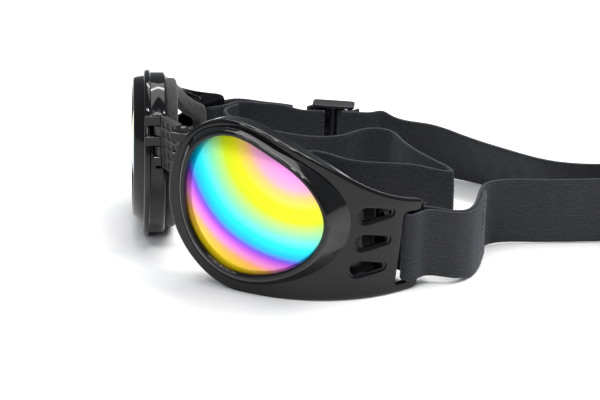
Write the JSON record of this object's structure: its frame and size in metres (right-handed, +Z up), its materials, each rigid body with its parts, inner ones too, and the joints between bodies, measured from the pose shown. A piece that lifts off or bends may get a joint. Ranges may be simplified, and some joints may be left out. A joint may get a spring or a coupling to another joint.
{
  "type": "goggles",
  "caption": "Folding sports goggles with mirrored lenses in glossy black cups, a hinged waffle nose bridge, an elastic head strap with a sliding adjuster, and an under strap.",
  "frame": {"origin": "On the level surface that the goggles stand on, midway between the cups.", "axes": "+Z up, -Y forward out of the lenses, +X to the wearer's left"},
  "size_m": [0.1463, 0.1672, 0.0601],
  "materials": {
    "shell_plastic": "glossy black injection moulded",
    "bridge_plastic": "satin black moulded",
    "lens_mirror": "rainbow mirror coating",
    "gasket_rubber": "soft black rubber",
    "face_foam": "fleece faced foam",
    "pin_steel": "drawn steel wire",
    "strap_fabric": "woven black elastic",
    "adjuster_plastic": "moulded black plastic"
  },
  "bodies": {
    "bridge": {"bridge": "bridge_plastic", "left_strap": "strap_fabric", "left_strap_seam": "strap_fabric", "right_strap": "strap_fabric", "under_strap_left": "strap_fabric", "under_strap_right": "strap_fabric"},
    "left_eyecup": {"left_shell": "shell_plastic", "left_lens_ring": "shell_plastic", "left_lens": "lens_mirror", "left_lens_gasket": "gasket_rubber", "left_face_foam": "face_foam", "left_hinge_pin": "pin_steel"},
    "right_eyecup": {"right_shell": "shell_plastic", "right_lens_ring": "shell_plastic", "right_lens": "lens_mirror", "right_lens_gasket": "gasket_rubber", "right_face_foam": "face_foam", "right_hinge_pin": "pin_steel"},
    "adjuster": {"strap_adjuster": "adjuster_plastic", "woven_strap": "strap_fabric"}
  },
  "joints": [
    {"name": "left_fold", "type": "hinge", "parent": "bridge", "child": "left_eyecup", "pos_m": [0.0075, 0.0043, 0.0436], "axis": [0, 0, 1], "range_deg": [-25, 20], "deforming": ["left_strap", "under_strap_left"]},
    {"name": "right_fold", "type": "hinge", "parent": "bridge", "child": "right_eyecup", "pos_m": [-0.0075, 0.0043, 0.0436], "axis": [0, 0, -1], "range_deg": [-25, 20], "deforming": ["right_strap", "under_strap_right"]},
    {"name": "adjuster_slide", "type": "slide", "parent": "bridge", "child": "adjuster", "axis": [0.6556, 0.7543, -0.0343], "range_m": [-0.005, 0.005]}
  ]
}
